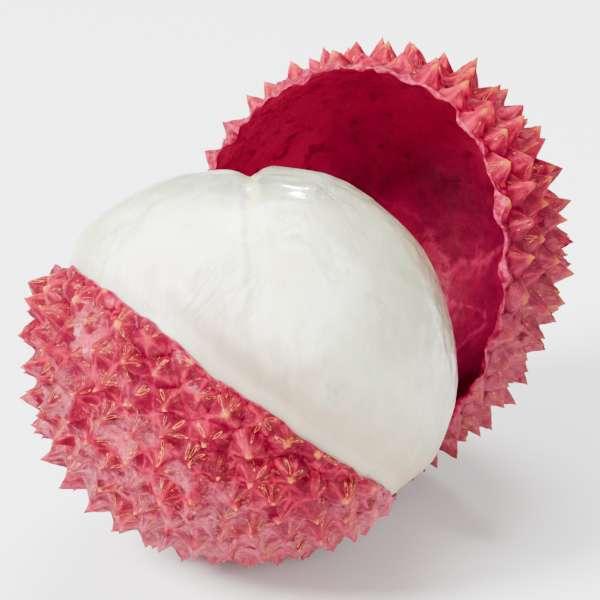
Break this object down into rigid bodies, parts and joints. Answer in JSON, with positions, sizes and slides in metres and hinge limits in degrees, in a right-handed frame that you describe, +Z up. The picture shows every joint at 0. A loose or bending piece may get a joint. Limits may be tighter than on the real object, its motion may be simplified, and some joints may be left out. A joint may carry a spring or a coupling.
{
  "type": "half-peeled lychee",
  "caption": "Half-peeled lychee: a spiky rind cup holds the swelling white flesh, and the other half of the rind stands behind it as an empty cap.",
  "frame": {"origin": "centre of the flat of the lowest spike under the fruit, on the surface that it lies on", "axes": "+Z up, -Y towards the side that shows the flesh and the inside of the cap, +X to the right seen from there"},
  "size_m": [0.0489, 0.0594, 0.0401],
  "materials": {
    "rind": "dry leathery crimson rind with yellow-tipped spikes, darker and smoother inside",
    "flesh": "wet translucent white flesh"
  },
  "bodies": {
    "root": {"rind_cup": "rind", "rind_cap": "rind", "flesh": "flesh"}
  },
  "joints": []
}
